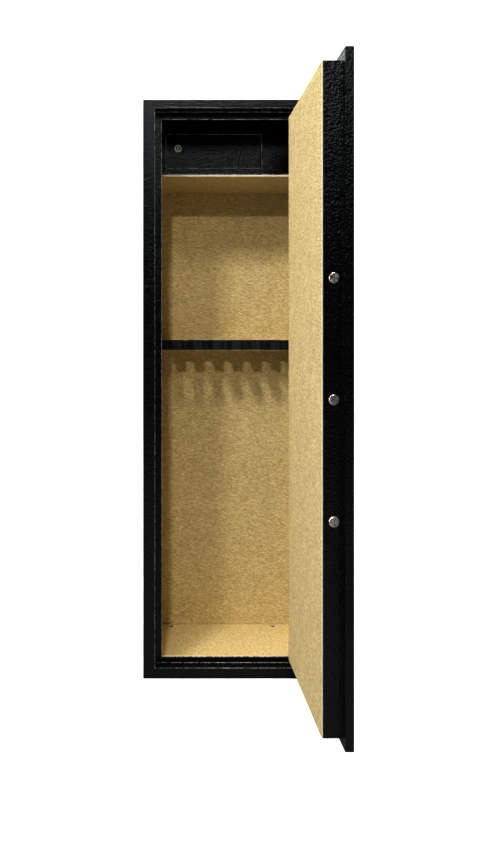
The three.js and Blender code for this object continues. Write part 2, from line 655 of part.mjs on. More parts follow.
function makeDoor() {
  const door = new THREE.Group();
  door.position.set(-HINGE.x, -HINGE.y, 0);
  addDoorPlate(door);
  addDoorPan(door);
  addHingeBlocks(door);
  addBolts(door);
  addBoltBar(door);
  addHandle(door);
  addKeypad(door);
  addSolenoid(door);
  addSpareLock(door);
  const pivot = new THREE.Group();
  pivot.position.set(HINGE.x, HINGE.y, 0);
  pivot.rotation.z = OPEN_ANGLE;
  pivot.add(door);
  return pivot;
}

const safe = new THREE.Group();
addShell(safe);
addFrame(safe);
addHingePins(safe);
addLinings(safe);
addLockboxShell(safe);
addLockboxDoor(safe);
addRack(safe);
safe.add(makeDoor());

export default safe;
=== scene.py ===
"""Looks for a tall wall safe: felt linings, foam barrel rack, hammered black coat, locks and keypad."""

import json
import math

import bmesh
import bpy
from mathutils import Matrix, Vector, noise


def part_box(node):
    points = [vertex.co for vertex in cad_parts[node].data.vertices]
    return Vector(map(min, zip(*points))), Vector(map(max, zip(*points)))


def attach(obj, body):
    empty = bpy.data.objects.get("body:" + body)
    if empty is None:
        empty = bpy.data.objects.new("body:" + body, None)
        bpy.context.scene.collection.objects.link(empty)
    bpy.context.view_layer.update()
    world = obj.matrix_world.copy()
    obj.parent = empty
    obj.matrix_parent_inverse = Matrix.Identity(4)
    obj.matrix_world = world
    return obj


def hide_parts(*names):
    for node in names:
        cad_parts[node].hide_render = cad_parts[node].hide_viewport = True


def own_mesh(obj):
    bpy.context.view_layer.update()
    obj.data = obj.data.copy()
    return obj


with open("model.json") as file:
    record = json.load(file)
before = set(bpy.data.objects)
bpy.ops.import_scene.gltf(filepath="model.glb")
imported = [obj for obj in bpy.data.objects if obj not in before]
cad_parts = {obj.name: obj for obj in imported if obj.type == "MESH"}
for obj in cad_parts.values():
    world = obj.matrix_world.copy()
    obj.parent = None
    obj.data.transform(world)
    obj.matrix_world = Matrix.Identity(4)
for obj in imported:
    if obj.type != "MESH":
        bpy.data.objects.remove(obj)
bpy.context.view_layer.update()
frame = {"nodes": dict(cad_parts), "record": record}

MM = 0.001

# ---------------------------------------------------------------- camera, lights and studio

CAMERA_PLACE = (-0.190, -1.865, 0.8047)
CAMERA_LENS = 29.67
CAMERA_SENSOR = 36
CAMERA_SHIFT = (0.0989, -0.0944)
CONTRAST = 1.6

# Each light's place, the point that it looks at, its width and height in metres, and its power in watts.
LIGHTS = {
    "key_light": ((-0.58, -3.84, 2.53), (0.0, 0.1, 0.75), (0.16, 0.16), 43.0),
    "strip_light": ((-0.348, -2.44, 3.57), (0.0, -0.041, 1.2), (0.06, 0.72), 29.8),
    "side_light": ((-1.685, -2.53, 3.57), (-0.1, -0.1, 1.2), (0.5, 0.77), 74.0),
    "door_light": ((-2.7, -1.7, 1.25), (0.1, -0.3, 0.75), (1.5, 1.5), 46.0),
    "top_light": ((-0.3, -0.65, 3.3), (0.0, -0.1, 0.0), (0.5, 0.5), 47.0),
    "back_light": ((2.6, 2.2, 2.6), (0.1, 0.0, 0.8), (1.2, 1.2), 60.0),
    "gloss_light": ((0.2, -3.8, 3.2), (0.0, -0.3, 1.2), (2.2, 1.0), 40.0),
}
GLOSS_TINT = (0.88, 0.97, 1.0)
SKY_STRENGTH = 0.056

STUDIO_REACH, STUDIO_HIGH, STUDIO_PALE = 7.0, 7.0, 0.88
BACKDROP_GLOW = 1.0
# The floor's glow rises between two distances from the middle, so that the object stands in a faint shade.
FLOOR_NEAR, FLOOR_FAR = 1.2, 2.4
FLOOR_GLOW_NEAR, FLOOR_GLOW_FAR = 0.82, 1.0
# A darker floor, which the camera doesn't see, is the one that bounces light.
BOUNCE_SHADE, BOUNCE_DROP = 0.5, 2 * MM
# Bands behind the object, from one height to another, shine in what faces away from the camera.
REFLECTOR_BANDS = ((0.5, 1.2), (1.9, 2.8), (3.8, 5.2))
REFLECTOR_SPAN = (-10, 190)  # degrees
REFLECTOR_REACH, REFLECTOR_GLOW = 0.98 * STUDIO_REACH, 1.6

# ---------------------------------------------------------------- colours

COAT_BLACK = (0.0036, 0.0039, 0.0042)
# The folds' pale steel specks are partly wear and partly a painted highlight.
FOLD_COAT, FOLD_STEEL_HIGHLIGHT = (0.012, 0.012, 0.013), (0.62, 0.63, 0.64)
FELT_TAN = (0.70, 0.594, 0.357)
# The felt's colour in the hollows of its pile: painted shade.
FELT_HOLLOW_SHADE = (0.44, 0.345, 0.155)
FELT_PALE = (0.93, 0.81, 0.53)
FELT_CREAM = (0.86, 0.80, 0.66)
FELT_SHEEN = (1.0, 0.85, 0.60)
ZINC_GREY, ZINC_PALE, ZINC_HAZE = (0.48, 0.50, 0.52), (0.62, 0.63, 0.63), (0.66, 0.62, 0.48)
CHROME_GREY, CHROME_PALE = (0.60, 0.61, 0.62), (0.74, 0.75, 0.76)
FOAM_DARK, FOAM_PALE = (0.007, 0.008, 0.011), (0.044, 0.047, 0.053)
BOARD_GREEN, BOARD_DARKER = (0.012, 0.110, 0.045), (0.010, 0.085, 0.036)
BOARD_TRACK, BOARD_SHADE = (0.030, 0.190, 0.080), (0.008, 0.07, 0.03)
INK_GREY, INK_PALE = (0.70, 0.70, 0.68), (0.82, 0.82, 0.80)
LAMP_COLORS = {"lamp_ready": (0.02, 0.30, 0.05), "lamp_denied": (0.42, 0.012, 0.010)}


# ---------------------------------------------------------------- shader graph helper

class Graph:
    """Builds one material's node tree. A texture's scale is in cells per metre, and a depth is in metres."""

    def __init__(self, name):
        self.material = bpy.data.materials.new(name)
        self.material.use_nodes = True
        self.tree = self.material.node_tree
        self.tree.nodes.clear()
        self.surface = self.add("ShaderNodeBsdfPrincipled")
        output = self.add("ShaderNodeOutputMaterial")
        self.link(self.surface.outputs["BSDF"], output.inputs["Surface"])
        self.place = self.add("ShaderNodeTexCoord").outputs["Object"]

    def add(self, kind, **settings):
        node = self.tree.nodes.new(kind)
        for name, value in settings.items():
            setattr(node, name, value)
        return node

    def link(self, output, socket):
        self.tree.links.new(output, socket)

    def feed(self, socket, value):
        if isinstance(value, bpy.types.NodeSocket):
            self.link(value, socket)
        else:
            socket.default_value = value

    def mapped(self, scale=(1, 1, 1), turn=(0, 0, 0)):
        node = self.add("ShaderNodeMapping", vector_type="TEXTURE")
        self.link(self.place, node.inputs["Vector"])
        node.inputs["Scale"].default_value = [1 / number for number in scale]
        node.inputs["Rotation"].default_value = turn
        return node.outputs["Vector"]

    def noise(self, scale, detail=2.0, roughness=0.5, source=None):
        node = self.add("ShaderNodeTexNoise")
        self.link(source or self.place, node.inputs["Vector"])
        node.inputs["Scale"].default_value = scale
        node.inputs["Detail"].default_value = detail
        node.inputs["Roughness"].default_value = roughness
        return node.outputs["Fac"]

    def streaks(self, scale, turn=(0, 0, 0)):
        """Noise drawn out along the axes whose scale is small."""
        return self.noise(1.0, source=self.mapped(scale, turn))

    def voronoi(self, scale, feature):
        node = self.add("ShaderNodeTexVoronoi", feature=feature)
        self.link(self.place, node.inputs["Vector"])
        node.inputs["Scale"].default_value = scale
        return node

    def cells(self, scale, feature="SMOOTH_F1"):
        return self.voronoi(scale, feature).outputs["Distance"]

    def cell_tint(self, scale):
        split = self.add("ShaderNodeSeparateColor")
        self.link(self.voronoi(scale, "F1").outputs["Color"], split.inputs["Color"])
        return split.outputs["Red"]

    def math(self, operation, first, second=0.0):
        node = self.add("ShaderNodeMath", operation=operation)
        self.feed(node.inputs[0], first)
        self.feed(node.inputs[1], second)
        return node.outputs["Value"]

    def total(self, *shares):
        """The sum of some values, each times its share."""
        result = 0.0
        for value, share in shares:
            result = self.math("ADD", self.math("MULTIPLY", value, share), result)
        return result

    def ramp(self, value, low, high, to_low, to_high):
        node = self.add("ShaderNodeMapRange")
        self.feed(node.inputs["Value"], value)
        for name, number in (("From Min", low), ("From Max", high), ("To Min", to_low), ("To Max", to_high)):
            node.inputs[name].default_value = number
        return node.outputs["Result"]

    def spread(self, value, to_low=0.0, to_high=1.0):
        """Stretches a noise's usual values, from 0.3 to 0.7, over another range."""
        return self.ramp(value, 0.3, 0.7, to_low, to_high)

    def mix(self, factor, first, second):
        """Mixes two colours: the node's colour sockets are 6 and 7, and its factor is 0."""
        node = self.add("ShaderNodeMix", data_type="RGBA")
        self.feed(node.inputs[0], factor)
        self.feed(node.inputs[6], first)
        self.feed(node.inputs[7], second)
        return node.outputs[2]

    def bump(self, height, depth, strength=1.0, under=None):
        node = self.add("ShaderNodeBump")
        self.feed(node.inputs["Height"], height)
        node.inputs["Distance"].default_value = depth
        node.inputs["Strength"].default_value = strength
        if under is not None:
            self.link(under, node.inputs["Normal"])
        return node.outputs["Normal"]

    def finish(self, **sockets):
        """Sets or links the shader's sockets, whose names have _ for a space, and returns the material."""
        for name, value in sockets.items():
            self.feed(self.surface.inputs[name.replace("_", " ")], value)
        return self.material


def rgba(color, factor=1.0):
    """A colour as sockets take it, darkened or brightened by a factor."""
    return (color[0] * factor, color[1] * factor, color[2] * factor, 1)


# ---------------------------------------------------------------- materials

def black_coat():
    """Hammered powder coat: a deep orange peel over small dimples, a fine grain and a few greyer flecks."""
    g = Graph("black_coat")
    relief = g.bump(g.total((g.noise(215), 0.8), (g.cells(200), 0.22)), 1.9 * MM)
    relief = g.bump(g.noise(1900, detail=1.0), 0.08 * MM, 0.4, under=relief)
    wear = g.spread(g.noise(9, detail=3.0))
    tint = g.mix(wear, rgba(COAT_BLACK, 0.8), rgba(COAT_BLACK, 1.25))
    flecks = g.ramp(g.noise(330, detail=1.0), 0.60, 0.72, 0.0, 0.5)
    tint = g.mix(flecks, tint, rgba(COAT_BLACK, 1.8))
    rough = g.spread(g.noise(60), 0.10, 0.14)
    return g.finish(Base_Color=tint, Roughness=rough, Normal=relief, Specular_IOR_Level=0.52)


def worn_fold():
    """The coat where it thins over a folded edge, with bright specks of steel that are partly wear and
    partly a painted highlight along the fold.
    """
    g = Graph("worn_fold")
    # Pale specks along the beads: worn steel, and a painted highlight of the folds.
    specks = g.ramp(g.noise(300), 0.42, 0.55, 0.0, 1.0)
    color = g.mix(specks, rgba(FOLD_COAT), rgba(FOLD_STEEL_HIGHLIGHT))
    relief = g.bump(g.noise(700), 0.4 * MM, 0.5)
    metal = g.math("MULTIPLY", specks, 0.3)
    return g.finish(Base_Color=color, Metallic=metal, Roughness=0.28, Normal=relief)


def felt(name, turn, mottle=1.0, coarse=1.0):
    """Needled felt: turn slants its ribs, mottle sets how far its tone wanders and how dark the painted
    shade in its hollows is, coarse widens its grain.
    """
    g = Graph(name)
    tufts = g.noise(720 / coarse, detail=4.0, roughness=0.65)
    clouds = g.noise(24, detail=3.0)
    ribs = g.streaks((130 / coarse, 130 / coarse, 640 / coarse), turn)
    counter = g.streaks((130 / coarse, 130 / coarse, 620 / coarse), [-angle for angle in turn])
    shade = g.total((tufts, 0.46), (ribs, 0.34), (counter, 0.12), (clouds, 0.06))
    # Darker and more orange where the relief is low, a painted shade in the pile's hollows; paler on its
    # tufts, with tone that wanders at random.
    deep = [middle + (low - middle) * mottle for middle, low in zip(FELT_TAN, FELT_HOLLOW_SHADE)]
    pale = [middle + (high - middle) * mottle for middle, high in zip(FELT_TAN, FELT_PALE)]
    color = g.mix(g.ramp(shade, 0.36, 0.60, 0.0, 1.0), rgba(deep), rgba(pale))
    relief = g.bump(shade, 2.4 * MM, 0.8)
    relief = g.bump(g.noise(1500, detail=4.0, roughness=0.7), 0.35 * MM, 0.6, under=relief)
    return g.finish(Base_Color=color, Roughness=0.95, Normal=relief, Specular_IOR_Level=0.1,
                    Sheen_Weight=0.08, Sheen_Roughness=0.6, Sheen_Tint=rgba(FELT_SHEEN))


def felt_edge():
    """The felt's cut edge, paler than its face."""
    g = Graph("felt_cut_edge")
    fibres = g.noise(900, detail=4.0, roughness=0.7)
    color = g.mix(g.spread(fibres), rgba(FELT_CREAM, 0.72), rgba(FELT_CREAM, 1.05))
    relief = g.bump(fibres, 0.6 * MM, 0.7)
    return g.finish(Base_Color=color, Roughness=0.95, Normal=relief, Sheen_Weight=0.3)


def radius_from_axis(g, axis):
    """The distance from the piece's own middle line along axis, from 0 at the middle to 0.5 at its box."""
    split = g.add("ShaderNodeSeparateXYZ")
    g.link(g.add("ShaderNodeTexCoord").outputs["Generated"], split.inputs["Vector"])
    squares = []
    for name in "XYZ":
        if name != axis:
            off = g.math("SUBTRACT", split.outputs[name], 0.5)
            squares.append(g.math("MULTIPLY", off, off))
    return g.math("SQRT", g.math("ADD", *squares))


# From one groove to the next, in radians: a full turn, rounded.
GROOVE_TURN = 6.283


def turned_steel(name, axis, color, rings, grain=0.0, rough=(0.22, 0.34)):
    """Steel turned about axis, with rings grooves over its width; grain draws its gloss out along them."""
    g = Graph(name)
    grooves = g.math("SINE", g.math("MULTIPLY", radius_from_axis(g, axis), rings * GROOVE_TURN))
    smear = g.noise(140, detail=3.0)
    relief = g.bump(grooves, 0.06 * MM, 0.5)
    relief = g.bump(g.noise(1800), 0.05 * MM, 0.4, under=relief)
    relief = g.bump(g.noise(260, detail=1.0), 0.5 * MM, 0.5, under=relief)
    tint = g.mix(g.spread(smear), rgba(color, 0.82), rgba(color, 1.1))
    tangent = g.add("ShaderNodeTangent", direction_type="RADIAL", axis=axis).outputs["Tangent"]
    return g.finish(Base_Color=tint, Metallic=1.0, Roughness=g.spread(smear, *rough), Normal=relief,
                    Anisotropic=grain, Tangent=tangent)


def zinc_plate():
    """Zinc plate with a small spangle and a yellow haze."""
    g = Graph("zinc_plate")
    spangle = g.cell_tint(170)
    haze = g.ramp(g.noise(60, detail=4.0), 0.45, 0.8, 0.0, 0.5)
    color = g.mix(spangle, rgba(ZINC_GREY), rgba(ZINC_PALE))
    color = g.mix(haze, color, rgba(ZINC_HAZE))
    rough = g.ramp(spangle, 0.0, 1.0, 0.32, 0.48)
    relief = g.bump(g.noise(900, detail=3.0), 0.06 * MM, 0.4)
    return g.finish(Base_Color=color, Metallic=0.95, Roughness=rough, Normal=relief)


def satin_chrome():
    """Brushed chrome whose gloss is smudged by hands."""
    g = Graph("knob_metal")
    brushed = g.streaks((500, 500, 4000))
    rough = g.spread(g.noise(45, detail=3.0), 0.20, 0.32)
    color = g.mix(brushed, rgba(CHROME_GREY), rgba(CHROME_PALE))
    return g.finish(Base_Color=color, Metallic=1.0, Roughness=rough, Normal=g.bump(brushed, 0.03 * MM, 0.4))


def rack_foam():
    """Black foam with pores, and the upright streaks that its saw leaves."""
    g = Graph("rack_foam")
    lumps = g.noise(300, detail=3.0)
    relief = g.bump(g.total((lumps, 0.5), (g.cells(900, feature="F1"), 1.0)), 0.7 * MM, 0.7)
    streak = g.spread(g.streaks((260, 260, 22)))
    color = g.mix(streak, rgba(FOAM_DARK), rgba(FOAM_PALE))
    return g.finish(Base_Color=color, Roughness=g.spread(lumps, 0.6, 0.8), Normal=relief)


def moulded(name, color, rough, spark, depth):
    """Moulded plastic or rubber with a spark-eroded surface."""
    g = Graph(name)
    wear = g.noise(70, detail=3.0)
    tint = g.mix(wear, rgba(color, 0.85), rgba(color, 1.2))
    relief = g.bump(g.noise(spark), depth, 0.5)
    return g.finish(Base_Color=tint, Roughness=g.spread(wear, rough - 0.05, rough + 0.06), Normal=relief)


def circuit_board():
    """A green board, with the joints of a brick pattern as its tracks."""
    g = Graph("circuit_board")
    tracks = g.add("ShaderNodeTexBrick")
    g.link(g.mapped(scale=(1, 260, 260)), tracks.inputs["Vector"])
    tracks.inputs["Color1"].default_value = rgba(BOARD_GREEN)
    tracks.inputs["Color2"].default_value = rgba(BOARD_DARKER)
    tracks.inputs["Mortar"].default_value = rgba(BOARD_TRACK)
    color = g.mix(g.noise(400), tracks.outputs["Color"], rgba(BOARD_SHADE))
    relief = g.bump(tracks.outputs["Fac"], 0.08 * MM, 0.5)
    return g.finish(Base_Color=color, Roughness=0.35, Normal=relief)


def plain_ink():
    """The off-white of the keys' figures."""
    g = Graph("key_ink")
    color = g.mix(g.noise(3000), rgba(INK_GREY), rgba(INK_PALE))
    return g.finish(Base_Color=color, Roughness=0.6)


# ---------------------------------------------------------------- mesh helpers

WELD_WITHIN = 0.01 * MM
SHARP_ANGLE = math.radians(35)
DOME_STEPS = 6


def put(name, data):
    """A new object in the scene."""
    obj = bpy.data.objects.new(name, data)
    bpy.context.scene.collection.objects.link(obj)
    return obj


def piece(name, vertices, faces, materials, smooth=False):
    """A mesh object from its points and faces."""
    mesh = bpy.data.meshes.new(name)
    mesh.from_pydata([tuple(v) for v in vertices], [], faces)
    mesh.update()
    for material in materials:
        mesh.materials.append(material)
    if smooth:
        mesh.shade_smooth()
    return put(name, mesh)


def evaluated_mesh(obj):
    """The mesh that a curve, a text or an object's modifiers make."""
    bpy.context.view_layer.update()
    return bpy.data.meshes.new_from_object(obj.evaluated_get(bpy.context.evaluated_depsgraph_get()))


def mesh_of_curve(name, curve, material):
    """The mesh of a curve or text, in one material."""
    shape = put(name + "_line", curve)
    mesh = evaluated_mesh(shape)
    bpy.data.objects.remove(shape)
    mesh.materials.clear()
    mesh.materials.append(material)
    return mesh


def outward(obj):
    """Turns a closed piece's faces outward."""
    work = bmesh.new()
    work.from_mesh(obj.data)
    bmesh.ops.recalc_face_normals(work, faces=work.faces)
    work.to_mesh(obj.data)
    work.free()
    return obj


def soften(obj, width, segments=2, weld=False):
    """Rounds a piece's sharp edges; weld joins a CAD part's doubled points first."""
    if weld:
        obj.modifiers.new("weld", "WELD").merge_threshold = WELD_WITHIN
    edge = obj.modifiers.new("edge", "BEVEL")
    edge.width = width
    edge.segments = segments
    edge.limit_method = "ANGLE"
    edge.angle_limit = SHARP_ANGLE
    edge.use_clamp_overlap = True
    edge.harden_normals = False
    return obj


def prism_faces(count):
    """The faces of a prism whose points are its near outline and then its far one."""
    ends = [tuple(reversed(range(count))), tuple(range(count, 2 * count))]
    return ends + [(i, (i + 1) % count, count + (i + 1) % count, count + i) for i in range(count)]


def around(centre, axis):
    """Turns a radius, an angle and a length along axis into a point."""
    turn = Vector(axis).to_track_quat("Z", "Y")

    def spot(radius, angle, along):
        return Vector(centre) + turn @ Vector((radius * math.cos(angle), radius * math.sin(angle), along))
    return spot


def cylinder(name, centre, axis, radius, length, material, sides):
    """A cylinder from centre along axis."""
    spot = around(centre, axis)
    vertices = [spot(radius, math.tau * i / sides, along) for along in (0, length) for i in range(sides)]
    return piece(name, vertices, prism_faces(sides), [material])


def lathe(name, centre, axis, profile, material, sides=64):
    """A closed ring or disc turned about axis: profile is (radius, along) all the way round the section."""
    spot = around(centre, axis)
    vertices, faces = [], []
    count = len(profile)
    for i in range(sides):
        vertices += [spot(radius, math.tau * i / sides, along) for radius, along in profile]
        here, after = i * count, (i + 1) % sides * count
        for k in range(count):
            beside = (k + 1) % count
            faces.append((here + k, after + k, after + beside, here + beside))
    return outward(piece(name, vertices, faces, [material], smooth=True))


def dome(radius, rise, lift=0.0):
    """The section of a dome, from its top to its rim."""
    angles = [math.pi / 2 * i / DOME_STEPS for i in range(DOME_STEPS + 1)]
    return [(radius * math.sin(angle), lift + rise * math.cos(angle)) for angle in angles]


# ---------------------------------------------------------------- felt sheets

FELT_STEP = 7 * MM
# A cut edge is rounded: its thickness falls to EDGE_LIFT of the felt's over the last FELT_EDGE.
FELT_EDGE, EDGE_LIFT = 1.0 * MM, 0.84
# The ripple is a broad wave and a finer one, in cells per metre, and it fades towards the cut edges.
FELT_RIPPLE = 0.22 * MM
RIPPLE_CELLS, FINE_CELLS, FINE_SHARE = 22, 75, 0.6
RIPPLE_FADE = 6 * MM
FELT_FRAY, FRAY_CELLS = 0.35 * MM, 420


def felt_steps(length):
    """Positions along a felt's side: close together at both cut edges."""
    inner = max(2, round((length - 2 * FELT_EDGE) / FELT_STEP))
    between = [FELT_EDGE + (length - 2 * FELT_EDGE) * i / inner for i in range(inner + 1)]
    near = [0.0, FELT_EDGE * 0.15, FELT_EDGE * 0.5]
    return near + between + [length - d for d in reversed(near)]


def grid_rim(columns, rows):
    """The points round the edge of a grid, in order."""
    rim = list(range(columns))
    rim += [j * columns + columns - 1 for j in range(1, rows)]
    rim += [(rows - 1) * columns + i for i in range(columns - 2, -1, -1)]
    return rim + [j * columns for j in range(rows - 2, 0, -1)]


def felt_sheet(name, at, across, along, thick, seed, crease=None, loose=1.0, face=None, butt=False):
    """A cut felt. at(u, v) gives a point on its glued side and the way out of it there.

    Its cut edges are rounded, except that a butt joint leaves the edge at v = 0 square.
    seed shifts the ripple of its open side, and loose is how strong that ripple is.
    """
    def open_point(u, v):
        edge = min(u, across - u, along if butt else v, along - v)
        round_off = math.sqrt(max(0.0, 1 - (1 - min(edge / FELT_EDGE, 1.0)) ** 2))
        base, out = at(u, v)
        ripple = noise.noise(base * RIPPLE_CELLS + Vector((seed, 0, 0)))
        ripple += FINE_SHARE * noise.noise(base * FINE_CELLS)
        lift = thick * (EDGE_LIFT + (1 - EDGE_LIFT) * round_off)
        lift += FELT_RIPPLE * loose * ripple * min(1.0, edge / RIPPLE_FADE)
        if crease is not None:
            lift -= crease(u, v)
        frayed = FELT_FRAY * noise.noise(base * FRAY_CELLS) if edge == 0.0 else 0.0
        return base + out * lift + out.cross(Vector((1, 1, 1))).normalized() * frayed

    us, vs = felt_steps(across), felt_steps(along)
    columns, rows = len(us), len(vs)
    vertices = [open_point(u, v) for v in vs for u in us]
    corners = [j * columns + i for j in range(rows - 1) for i in range(columns - 1)]
    faces = [(first, first + 1, first + columns + 1, first + columns) for first in corners]
    open_side = len(faces)
    rim = grid_rim(columns, rows)
    low = {}
    for index in rim:
        j, i = divmod(index, columns)
        low[index] = len(vertices)
        vertices.append(at(us[i], vs[j])[0])
    faces += [(second, first, low[first], low[second]) for first, second in zip(rim, rim[1:] + rim[:1])]
    cut_sides = len(faces)
    # The glued side follows the same rows, so that a folded felt stays a thin sheet.
    left = [low[j * columns] for j in range(rows)]
    right = [low[j * columns + columns - 1] for j in range(rows)]
    bottom = [low[i] for i in range(columns)]
    top = [low[(rows - 1) * columns + i] for i in range(columns)]
    faces.append(tuple(bottom) + (right[1], left[1]))
    faces += [(left[j], right[j], right[j + 1], left[j + 1]) for j in range(1, rows - 2)]
    faces.append((left[rows - 2], right[rows - 2]) + tuple(reversed(top)))
    obj = piece(name, vertices, faces, [face or FELT, FELT_CUT], smooth=True)
    kinds = [1 if open_side <= index < cut_sides else 0 for index in range(len(faces))]
    obj.data.polygons.foreach_set("material_index", kinds)
    return outward(obj)


def flat_at(corner, u_way, v_way, out):
    """The at(u, v) of a flat felt."""
    corner, u_way, v_way, out = Vector(corner), Vector(u_way), Vector(v_way), Vector(out)
    return lambda u, v: (corner + u_way * u + v_way * v, out)


def lining(name, node, body, rests, at, across, along, **more):
    """A flat felt that lies on a panel, in place of a CAD node."""
    obj = felt_sheet(name, at, across, along, **more)
    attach(obj, body)
    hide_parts(node)


def box_and_size(node):
    """A node's lowest and highest corners, and its size."""
    low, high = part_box(node)
    return low, high, (high[0] - low[0], high[1] - low[1], high[2] - low[2])


# ---------------------------------------------------------------- finishes

COAT = black_coat()
FOLD = worn_fold()
FELT = felt("felt", turn=(0, 0.22, 0))
DOOR_FELT = felt("door_felt", turn=(0.5, 0, 0), mottle=1.1, coarse=1.25)
CALM_FELT = felt("calm_felt", turn=(0, 0.22, 0), mottle=0.55)
FELT_CUT = felt_edge()
STEEL_Y = turned_steel("bolt_steel", "Y", (0.72, 0.66, 0.58), rings=26, grain=0.85)
STEEL_Z = turned_steel("pin_steel", "Z", (0.60, 0.58, 0.55), rings=40)
STEEL_X = turned_steel("plug_steel", "X", (0.70, 0.66, 0.58), rings=30)
LOCK_STEEL = turned_steel("lock_steel", "Y", (0.66, 0.65, 0.62), rings=24, rough=(0.32, 0.42))
SHUTTER_STEEL = turned_steel("shutter_steel", "Y", (0.92, 0.90, 0.82), rings=8, rough=(0.48, 0.58))
ZINC = zinc_plate()
CHROME = satin_chrome()
FOAM = rack_foam()
PLASTIC = moulded("black_plastic", (0.018, 0.018, 0.019), rough=0.42, spark=1400, depth=0.12 * MM)
RUBBER = moulded("key_rubber", (0.032, 0.033, 0.035), rough=0.72, spark=2200, depth=0.06 * MM)
BOARD = circuit_board()
INK = plain_ink()

# The finish of each material slot in the record, and of the parts that have one of their own.
FINISH = {
    "bolt_steel": STEEL_Y,
    "turned_steel": STEEL_Z,
    "zinc_plate": ZINC,
    "knob_metal": CHROME,
    "rack_foam": FOAM,
    "black_plastic": PLASTIC,
    "key_rubber": RUBBER,
    "circuit_board": BOARD,
    "black_coat": COAT,
    "felt": FELT,
}
OWN_FINISH = {
    "lockbox_lock_body": LOCK_STEEL,
    "lockbox_lock_plug": LOCK_STEEL,
    "spare_lock_body": STEEL_X,
    "spare_lock_plug": STEEL_X,
    "handle_spindle": STEEL_X,
}
# How far each part's edges are rounded, in millimetres.
EDGES = {
    "jamb_left": 0.95, "jamb_right": 0.95, "frame_head": 0.95, "frame_sill": 0.95,
    "left_side": 0.8, "right_side": 0.8, "top_panel": 0.6, "base_panel": 0.6,
    "door_plate": 0.8, "door_pan": 0.6, "lockbox_front": 0.5, "lockbox_door": 0.6,
    "lockbox_shelf": 0.7, "handle_knob": 1.0, "spindle_bush": 0.3, "keypad_housing": 1.0,
    "bolt_bar": 0.4, "bolt_upper": 0.5, "bolt_middle": 0.5, "bolt_lower": 0.5,
    "solenoid_body": 0.6, "rack_bracket_left": 0.4, "rack_bracket_right": 0.4,
    "lockbox_lock_body": 0.35, "lockbox_lock_plug": 0.3,
    "spare_lock_body": 0.35, "spare_lock_plug": 0.3,
}

slots = {part["node"]: part["material_slot"] for part in frame["record"]["subparts"]}
for name, obj in frame["nodes"].items():
    obj.data.materials.clear()
    obj.data.materials.append(OWN_FINISH.get(name) or FINISH[slots[name]])
    if name in EDGES:
        soften(obj, EDGES[name] * MM, weld=True)

# ---------------------------------------------------------------- cabinet linings

# How much thinner each felt is than its CAD solid, which leaves room for its ripple.
WALL_EASE, SHELF_EASE, DOOR_EASE = 0.3 * MM, 0.2 * MM, 0.1 * MM

lo, hi, (w, d, h) = box_and_size("lining_back")
lining("felt_back", "lining_back", "cabinet", ["back_panel"],
       flat_at((lo[0], hi[1], lo[2]), (1, 0, 0), (0, 0, 1), (0, -1, 0)),
       across=w, along=h, thick=d - WALL_EASE, seed=1, loose=1.6, butt=True)

lo, hi, (w, d, h) = box_and_size("lining_left")
lining("felt_left", "lining_left", "cabinet", ["left_side"],
       flat_at((lo[0], lo[1], lo[2]), (0, 1, 0), (0, 0, 1), (1, 0, 0)),
       across=d, along=h, thick=w - WALL_EASE, seed=2)

lo, hi, (w, d, h) = box_and_size("lining_right")
lining("felt_right", "lining_right", "cabinet", ["right_side"],
       flat_at((hi[0], lo[1], lo[2]), (0, 1, 0), (0, 0, 1), (-1, 0, 0)),
       across=d, along=h, thick=w - WALL_EASE, seed=3)

lo, hi, (w, d, h) = box_and_size("shelf_lining")
lining("felt_shelf", "shelf_lining", "cabinet", ["lockbox_shelf"],
       flat_at((lo[0], lo[1], hi[2]), (1, 0, 0), (0, 1, 0), (0, 0, -1)),
       across=w, along=d, thick=h - SHELF_EASE, seed=4, face=CALM_FELT)

# ---------------------------------------------------------------- floor lining, turned up behind the sill

FLOOR_THICK = 2.7 * MM
BEND = 3.0 * MM
BEND_LONG = BEND * math.pi / 2
ANCHORS = ((-145, -100), (145, -100), (-145, 143), (145, 143))  # millimetres
ANCHOR_HOLE = 6.5 * MM
PUNCH_LOW, PUNCH_LONG = -2 * MM, 20 * MM

lo, hi, (w, d, h) = box_and_size("lining_floor")
FLOOR_RUN = d - BEND


def floor_at(u, v):
    """v runs from the back felt's face along the floor, round the bend and up behind the sill."""
    x = lo[0] + u
    if v <= FLOOR_RUN:
        return Vector((x, hi[1] + WALL_EASE - v, lo[2])), Vector((0, 0, 1))
    if v <= FLOOR_RUN + BEND_LONG:
        turn = (v - FLOOR_RUN) / BEND
        place = Vector((x, lo[1] + BEND - BEND * math.sin(turn), lo[2] + BEND - BEND * math.cos(turn)))
        return place, Vector((0, math.sin(turn), math.cos(turn)))
    return Vector((x, lo[1], lo[2] + BEND + v - FLOOR_RUN - BEND_LONG)), Vector((0, 1, 0))


def punch_out(obj, spots, radius):
    """Cuts round holes down through a piece."""
    punches = []
    for x, y in spots:
        foot = (x * MM, y * MM, PUNCH_LOW)
        punches.append(cylinder(f"punch_{x}_{y}", foot, (0, 0, 1), radius, PUNCH_LONG, FELT_CUT, sides=24))
        hole = obj.modifiers.new("hole", "BOOLEAN")
        hole.operation = "DIFFERENCE"
        hole.solver = "EXACT"
        hole.object = punches[-1]
    holed = evaluated_mesh(obj)
    obj.modifiers.clear()
    obj.data = holed
    for punch in punches:
        bpy.data.objects.remove(punch)


floor_along = FLOOR_RUN + BEND_LONG + (h - BEND)
floor = felt_sheet("felt_floor", floor_at, across=w, along=floor_along, thick=FLOOR_THICK, seed=5,
                   loose=1.5, face=CALM_FELT, butt=True)
punch_out(floor, ANCHORS, ANCHOR_HOLE)
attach(floor, "cabinet")
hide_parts("lining_floor")

# ---------------------------------------------------------------- door lining

